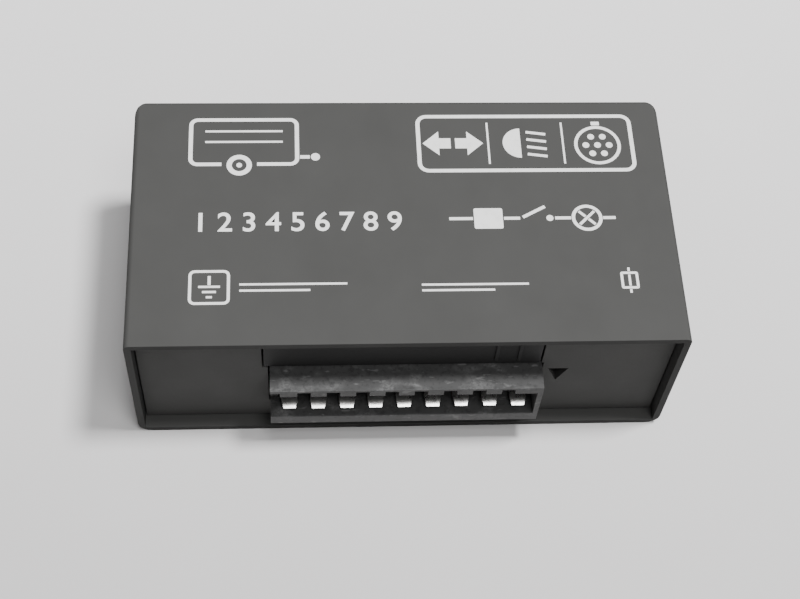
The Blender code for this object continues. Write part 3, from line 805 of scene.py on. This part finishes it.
def gull_lead(bm, start, outward, drop, run, width, thickness=0.18):
    """Formed lead: out of the body, down to the board, and a foot that lies on it."""
    shoulder = run * 0.35
    path = [(-0.1, 0), (shoulder, 0), (shoulder + 0.12, -drop), (run, -drop)]
    across = outward.cross(Vector((0, 0, 1)))
    matrix = Matrix.Identity(4)
    for column, axis in enumerate((outward, Vector((0, 0, 1)), across)):
        for row in range(3):
            matrix[row][column] = axis[row]
    matrix.translation = start
    points = [Vector((u * MM, v * MM)) for u, v in path]
    ribbon(bm, points, thickness * MM, -width * MM / 2, width * MM / 2, matrix=matrix)


# Each row of leads: its side, how many, and their pitch, run and width in millimetres
LEAD_ROWS = {
    "microcontroller": [(side, 8, 0.8, 0.95, 0.36) for side in ("left", "right", "front", "back")],
    "flash_memory": [(side, 4, 1.27, 1.0, 0.42) for side in ("front", "back")],
    "voltage_regulator": [("front", 3, 2.28, 0.9, 0.75)],
    **{f"power_switch_{number}": [("back", 5, 1.14, 0.9, 0.55)] for number in range(1, 5)},
}
OUTWARD = {
    "left": Vector((-1, 0, 0)),
    "right": Vector((1, 0, 0)),
    "front": Vector((0, -1, 0)),
    "back": Vector((0, 1, 0)),
}


def chips():
    """Moulded packages with a lead for each row and a solder tab where the CAD sheet has one."""
    leads = bmesh.new()
    dots = bmesh.new()
    for node, rows in LEAD_ROWS.items():
        low, high = body_span(node)
        centre = (low + high) / 2
        bm = bmesh.new()
        chip_body(bm, low, high)
        piece(f"{node}_body", bm, "chip_plastic", TRAY, (node,))
        level = low.z + (high.z - low.z) * 0.42
        drop = (level - BOARD_HIGH.z) / MM - 0.12
        for side, count, pitch, run, width in rows:
            outward = OUTWARD[side]
            face = Vector((outward.x * (high.x - low.x) / 2, outward.y * (high.y - low.y) / 2, 0))
            along = Vector((abs(outward.y), abs(outward.x), 0))
            for index in range(count):
                shift = along * (index - (count - 1) / 2) * pitch * MM
                start = Vector((centre.x, centre.y, level)) + face + shift
                gull_lead(leads, start, outward, drop, run, width)
        sheet_low, sheet_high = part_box(node)
        tab_front = low.y - sheet_low.y > 1.2 * MM
        tab_back = node == "voltage_regulator"
        if tab_front or tab_back:
            under = 0.6 * MM
            front_tab = (sheet_low.y, low.y + under)
            back_tab = (high.y - under, sheet_high.y)
            start_y, end_y = front_tab if tab_front else back_tab
            tab_x = 2.6 * MM
            block(
                leads,
                (centre.x - tab_x, start_y, BOARD_HIGH.z + 0.06 * MM),
                (centre.x + tab_x, end_y, BOARD_HIGH.z + 0.55 * MM),
                0.1,
            )
        dot = (low.x + 0.9 * MM, high.y - 0.9 * MM)
        plate(dots, circle(dot, 0.28 * MM, 20), high.z + 0.002 * MM, high.z + 0.012 * MM)
    piece("chip_leads", leads, "tinned_copper", TRAY)
    piece("chip_pin_one_dots", dots, "print_ink", TRAY)


def surge_diode():
    """Block package with a folded terminal at each end and a cathode band."""
    low, high = body_span("surge_diode")
    sheet_low, sheet_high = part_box("surge_diode")
    bm = bmesh.new()
    chip_body(bm, low, high, 0.18)
    piece("surge_diode_body", bm, "chip_plastic", TRAY, ("surge_diode",))
    half = 1.5 * MM
    middle_y = (low.y + high.y) / 2
    level = low.z + (high.z - low.z) / 2
    bm = bmesh.new()
    for x_out, x_in, way in ((sheet_low.x, low.x, 1), (sheet_high.x, high.x, -1)):
        for first, second in (
            ((x_out, level - 0.12 * MM), (x_in + way * 0.15 * MM, level + 0.12 * MM)),
            ((x_out, BOARD_HIGH.z + 0.06 * MM), (x_out + way * 0.24 * MM, level + 0.12 * MM)),
            ((x_out, BOARD_HIGH.z + 0.06 * MM), (x_out + way * 1.3 * MM, BOARD_HIGH.z + 0.26 * MM)),
        ):
            x_low, x_high = sorted((first[0], second[0]))
            block(bm, (x_low, middle_y - half, first[1]), (x_high, middle_y + half, second[1]), 0.05, 1)
    piece("surge_diode_terminals", bm, "tinned_copper", TRAY)
    bm = bmesh.new()
    band = [
        (low.x + 0.9 * MM, low.y + 0.35 * MM),
        (low.x + 1.5 * MM, low.y + 0.35 * MM),
        (low.x + 1.5 * MM, high.y - 0.35 * MM),
        (low.x + 0.9 * MM, high.y - 0.35 * MM),
    ]
    plate(bm, [Vector(point) for point in band], high.z + 0.002 * MM, high.z + 0.012 * MM)
    piece("surge_diode_band", bm, "print_ink", TRAY)


def end_caps(bm, low, high, cap):
    """Metal caps on both ends of a small part that lies along X."""
    grow = Vector((0.03, 0.03, 0.03)) * MM
    for start, end in ((low.x, low.x + cap), (high.x - cap, high.x)):
        block(bm, Vector((start, low.y, low.z)) - grow, Vector((end, high.y, high.z)) + grow, 0.05, 1)


def small_parts():
    """Rows of small resistors and capacitors, with the shunt resistor."""
    low, high = body_span("shunt_resistor")
    bm = bmesh.new()
    block(bm, low, high, 0.08)
    piece("shunt_resistor_body", bm, "chip_plastic", TRAY, ("shunt_resistor",))
    caps = bmesh.new()
    end_caps(caps, low, high, 1.1 * MM)
    resistors = bmesh.new()
    capacitors = bmesh.new()
    chance = random.Random(7)
    rows = [((-23.5 + 2.9 * index, 3.1), index % 3 == 0) for index in range(7)]
    rows += [((-42 + 4.1 * index, 21.6), index % 2 == 0) for index in range(11)]
    rows += [((17.0, -6.0 + 1.9 * index), index % 2 == 1) for index in range(6)]
    rows += [((41.6, -4.6 + 2.1 * index), index % 3 == 1) for index in range(7)]
    rows += [((-36.0 + 3.0 * index, 2.6), index == 1) for index in range(4)]
    for (x, y), is_resistor in rows:
        length, width = 1.6 * MM, 0.8 * MM
        height = (0.45 if is_resistor else 0.85) * MM
        shift = chance.uniform(-0.08, 0.08) * MM
        low = Vector((x * MM - length / 2 + shift, y * MM - width / 2, BOARD_HIGH.z + 0.1 * MM))
        high = low + Vector((length, width, height))
        block(resistors if is_resistor else capacitors, low, high, 0.05, 1)
        end_caps(caps, low, high, 0.32 * MM)
    piece("small_resistors", resistors, "chip_plastic", TRAY)
    piece("small_capacitors", capacitors, "ceramic", TRAY)
    piece("small_part_end_caps", caps, "solder", TRAY)


def electrolytic(node):
    """Aluminium can with a crimped waist and a scored top, on a chamfered base plate."""
    low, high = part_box(node)
    centre = (low + high) / 2
    radius = (high.x - low.x) / 2 / MM
    height = (high.z - low.z) / MM
    base = 1.6
    profile = [
        (radius - 0.9, base - 0.4),
        (radius - 0.45, base - 0.2),
        (radius - 0.3, base + 0.4),
        (radius - 0.75, base + 1.1),
        (radius - 0.75, base + 1.4),
        (radius - 0.3, base + 2.1),
        (radius - 0.3, height - 0.75),
        (radius - 0.4, height - 0.4),
        (radius - 0.65, height - 0.12),
        (radius - 1.0, height - 0.03),
        (radius - 1.2, height - 0.06),
        (0.3, height - 0.06),
    ]
    bm = bmesh.new()
    turned(bm, profile, (centre.x, centre.y, low.z), 56)
    piece(f"{node}_can", bm, "capacitor_can", TRAY, (node,))

    half = radius * MM
    cut = 0.52
    outline = [(-1, -1), (1, -1), (1, cut), (cut, 1), (-cut, 1), (-1, cut)]
    points = [Vector((centre.x + x * half, centre.y + y * half)) for x, y in outline]
    bm = bmesh.new()
    plate(bm, points, low.z, low.z + base * MM)
    seat = [(radius - 0.35, 0), (radius - 0.35, 0.55), (radius - 0.7, 0.6)]
    turned(bm, seat, (centre.x, centre.y, low.z + (base - 0.05) * MM))
    round_edges(bm, sharp_edges(bm, 40), 0.1, 1)
    piece(f"{node}_base", bm, "buzzer_plastic", TRAY)

    bm = bmesh.new()
    mark = arc((centre.x, centre.y), (radius - 1.3) * MM, 120, 240, 20)
    plate(bm, mark, high.z - 0.055 * MM, high.z - 0.04 * MM)
    piece(f"{node}_polarity_mark", bm, "buzzer_plastic", TRAY)


def crystal():
    """Obround drawn can with a welded flange, on its two solder tags."""
    low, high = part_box("crystal")
    body_low, body_high = body_span("crystal")
    centre = (body_low + body_high) / 2
    width = body_high.x - body_low.x
    length = body_high.y - body_low.y
    bm = bmesh.new()
    for inset, bottom, top in ((0, 0.35, 0.75), (0.3, 0.75, 3.3)):
        size = (width - 2 * inset * MM, length - 2 * inset * MM)
        outline = rounded_outline((centre.x, centre.y), size, size[0] / 2 - 0.01 * MM, 8)
        plate(bm, outline, low.z + bottom * MM, low.z + top * MM)
    round_edges(bm, sharp_edges(bm, 60), 0.16, 2)
    piece("crystal_can", bm, "capacitor_can", TRAY, ("crystal",))
    bm = bmesh.new()
    for start, end in ((low.y, low.y + 2 * MM), (high.y - 2 * MM, high.y)):
        left_end = (centre.x - 0.5 * MM, start, BOARD_HIGH.z + 0.05 * MM)
        right_end = (centre.x + 0.5 * MM, end, low.z + 0.3 * MM)
        block(bm, left_end, right_end, 0.05, 1)
    piece("crystal_tags", bm, "tinned_copper", TRAY)


def choke():
    """Ring core, with its winding in round wire whose ends go down to the board."""
    bm = bmesh.new()
    bm.from_mesh(frame["nodes"]["choke_core"].data)
    bmesh.ops.remove_doubles(bm, verts=bm.verts, dist=0.002 * MM)
    bmesh.ops.subdivide_edges(bm, edges=bm.edges, cuts=1, use_grid_fill=True, smooth=1.0)
    piece("choke_core_fine", bm, "ferrite", TRAY, ("choke_core",), sharp=80)

    low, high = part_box("choke_core")
    centre = (low + high) / 2
    wound_low, wound_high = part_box("choke_winding")
    wire = 0.36 * MM
    rise = (wound_high.z - wound_low.z) / 2 - wire
    section = (high.z - low.z) / 2 / 1.5
    ring = (high.x - low.x) / 2 - section
    reach = section + 0.3 * MM + wire
    turns = 11
    steps = 30 * turns
    points = []
    for step in range(steps + 1):
        along = step / steps
        round_ring = math.radians(300) * (along - 0.5) - math.pi / 2
        round_wire = 2 * math.pi * turns * along
        radius = ring + reach * math.cos(round_wire)
        across = Vector((math.cos(round_ring), math.sin(round_ring), 0))
        points.append(centre + radius * across + Vector((0, 0, rise * math.sin(round_wire))))
    for end, index in ((points[0], 0), (points[-1], len(points))):
        outward = Vector((end.x - centre.x, end.y - centre.y, 0)).normalized()
        drop = end.z - BOARD_HIGH.z - 0.1 * MM
        leg = []
        for step in range(1, 5):
            bow = outward * 0.5 * MM * math.sin(step * math.pi / 8)
            leg.append(end + bow - Vector((0, 0, drop * step / 4)))
        points[index:index] = leg[::-1] if index == 0 else leg
    bm = bmesh.new()
    tube(bm, points, wire, 10)
    piece("choke_winding_fine", bm, "copper_wire", TRAY, ("choke_winding",), sharp=60)


def sounder():
    refined("buzzer_case", 0.12)
    refined("buzzer_disc", 0.0)


# ---------------------------------------------------------------- board surface


def blade_tails():
    """Where each blade's tail goes through the board."""
    places = []
    for node in BLADES:
        low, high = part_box(node)
        places.append(Vector(((low.x + high.x) / 2, high.y - 0.4 * MM)))
    return places


def solder_joints():
    """Fillets round the tails, above and below the board, and under the relays' pins."""
    bm = bmesh.new()
    for place in blade_tails():
        above = [(1.35, 0.02), (1.3, 0.1), (1.0, 0.32), (0.8, 0.62), (0.62, 0.95)]
        turned(bm, above, (place.x, place.y, BOARD_HIGH.z), 24)
        below = [(radius, -height) for radius, height in reversed(above)]
        turned(bm, below, (place.x, place.y, BOARD_LOW.z), 24)
    pin = [(0.3, -1.3), (0.55, -1.1), (0.8, -0.6), (1.25, -0.05), (1.3, -0.02)]
    for name in RELAYS:
        low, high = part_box(f"{name}_base")
        for u, v in ((0.08, 0.2), (0.08, 0.8), (0.55, 0.15), (0.55, 0.85), (0.92, 0.5)):
            x = low.x + u * (high.x - low.x)
            y = low.y + v * (high.y - low.y)
            turned(bm, pin, (x, y, BOARD_LOW.z), 20)
    piece("solder_joints", bm, "solder", TRAY)


# Where the track from each blade ends on the board, and its width, in millimetres
TRACK_ENDS = (
    ((-33.0, 4.6), 2.0),
    ((-26.4, 4.6), 1.4),
    ((-20.6, 1.4), 1.4),
    ((-12.0, 4.8), 2.0),
    ((-3.4, 5.6), 0.8),
    ((6.2, -7.4), 0.6),
    ((11.0, -7.4), 0.6),
    ((21.6, -7.0), 1.6),
    ((30.5, 9.6), 2.0),
)


def tracks():
    """Copper tracks under the mask, from each tail to the part that it feeds, and vias at their ends."""
    bm = bmesh.new()
    low = BOARD_HIGH.z + 0.004 * MM
    rings = bmesh.new()
    for place, (end, width) in zip(blade_tails(), TRACK_ENDS):
        end = Vector(end) * MM
        step = abs(end.x - place.x)
        spare = end.y - place.y - step
        turn_y = place.y + (0.4 * spare if spare > 0 else 0.3 * MM)
        knee = Vector((place.x, turn_y))
        joined = Vector((end.x, min(turn_y + step, end.y)))
        points = [place, knee, joined, end] if (end - joined).length > 0.1 * MM else [place, knee, joined]
        ribbon(bm, points, width * MM, low, low + 0.03 * MM)
        ribbon(rings, circle(end, 0.55 * MM, 24), 0.35 * MM, low, low + 0.06 * MM, closed=True)
    piece("copper_tracks", bm, "board_laminate", TRAY, finish="masked_copper")
    piece("via_rings", rings, "solder", TRAY)


LEGEND_LINE = 0.15 * MM


def legend():
    """White outlines on the board round the parts that stand on it."""
    bm = bmesh.new()
    low = BOARD_HIGH.z + 0.01 * MM
    high = low + 0.02 * MM
    for node, margin in (
        ("relay_1_cover", 0.5),
        ("relay_2_cover", 0.5),
        ("microcontroller", 0.9),
        ("surge_diode", 0.6),
        ("shunt_resistor", 0.6),
        ("voltage_regulator", 0.7),
        ("bulk_capacitor", 0.25),
        ("filter_capacitor", 0.25),
    ):
        box_low, box_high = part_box(node)
        centre = (box_low + box_high) / 2
        size = (box_high.x - box_low.x + 2 * margin * MM, box_high.y - box_low.y + 2 * margin * MM)
        outline = rounded_outline((centre.x, centre.y), size, 0.3 * MM, 3)
        ribbon(bm, outline, LEGEND_LINE, low, high, closed=True)
    for node in ("buzzer_case", "choke_core"):
        box_low, box_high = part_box(node)
        centre = (box_low + box_high) / 2
        radius = (box_high.x - box_low.x) / 2 + 1.2 * MM
        ribbon(bm, circle((centre.x, centre.y), radius, 56), LEGEND_LINE, low, high, closed=True)
    piece("board_legend", bm, "print_ink", TRAY)


def board():
    refined("circuit_board", 0.0)
    tracks()
    legend()
    solder_joints()
    chips()
    surge_diode()
    small_parts()
    electrolytic("bulk_capacitor")
    electrolytic("filter_capacitor")
    crystal()
    choke()
    sounder()


# ---------------------------------------------------------------- stage

# The camera is set by its aim, its distance in metres, its angles in degrees and its lens in millimetres
AIM = Vector((-0.28 * MM, SLEEVE_CENTRE.y - 7.5 * MM, SLEEVE_CENTRE.z))
CAMERA_DISTANCE = 0.2803
CAMERA_AZIMUTH = math.radians(-7.63)
CAMERA_ELEVATION = math.radians(59.3)
CAMERA_ROLL = math.radians(5.95)
CAMERA_LENS = 70.8


def floor():
    """A pale surface that the module lies on, painted darker towards the front: a painted light falloff."""
    bm = bmesh.new()
    bmesh.ops.create_grid(bm, x_segments=8, y_segments=8, size=1.6)
    mesh = bpy.data.meshes.new("floor")
    bm.to_mesh(mesh)
    bm.free()
    obj = bpy.data.objects.new("floor", mesh)
    bpy.context.scene.collection.objects.link(obj)
    shader = Shader("pale_floor", 0.55)
    cloud = shader.noise(60, detail=3)
    near_painted_shade = shader.mix(cloud, (0.52, 0.512, 0.512), (0.57, 0.562, 0.562))
    far_painted_light = shader.mix(cloud, (0.84, 0.832, 0.836), (0.89, 0.882, 0.886))
    # Painted light falloff: the floor's colour runs from darker at the front to lighter at the back.
    shader.colour(shader.mix(shader.remap(shader.axis("Y"), -60, 85), near_painted_shade, far_painted_light))
    mesh.materials.append(shader.material)


def area_light(name, place, size, energy):
    """A round light that faces the module; place and size are in metres, energy in watts."""
    light = bpy.data.lights.new(name, "AREA")
    light.shape = "DISK"
    light.size = size
    light.energy = energy
    obj = bpy.data.objects.new(name, light)
    obj.location = place
    obj.rotation_euler = (-Vector(place)).to_track_quat("-Z", "Y").to_euler()
    bpy.context.scene.collection.objects.link(obj)


def lights():
    """A nearly overhead key from the right, soft light from the front and a dim surround."""
    world = bpy.data.worlds.new("studio")
    bpy.context.scene.world = world
    world.use_nodes = True
    background = world.node_tree.nodes["Background"]
    background.inputs["Color"].default_value = (1.0, 0.99, 0.985, 1)
    background.inputs["Strength"].default_value = 0.13
    area_light("key", (0.5, 0.035, 1.5), 0.28, 35.5)
    area_light("overhead", (0.05, -0.02, 1.6), 0.28, 5.0)
    area_light("front", (0.2, -0.52, 1.25), 0.6, 10.0)


def camera():
    data = bpy.data.cameras.new("camera")
    data.lens = CAMERA_LENS
    data.sensor_width = 36
    data.clip_start = 0.01
    obj = bpy.data.objects.new("camera", data)
    across = math.cos(CAMERA_ELEVATION)
    back = Vector(
        (
            math.sin(CAMERA_AZIMUTH) * across,
            -math.cos(CAMERA_AZIMUTH) * across,
            math.sin(CAMERA_ELEVATION),
        )
    )
    obj.location = AIM + back * CAMERA_DISTANCE
    turn = (-back).to_track_quat("-Z", "Y").to_matrix().to_4x4()
    roll = Matrix.Rotation(CAMERA_ROLL, 4, "Z")
    obj.rotation_euler = (turn @ roll).to_euler()
    bpy.context.scene.collection.objects.link(obj)
    bpy.context.scene.camera = obj


casing()
lid_print()
relays()
board()
floor()
lights()
camera()
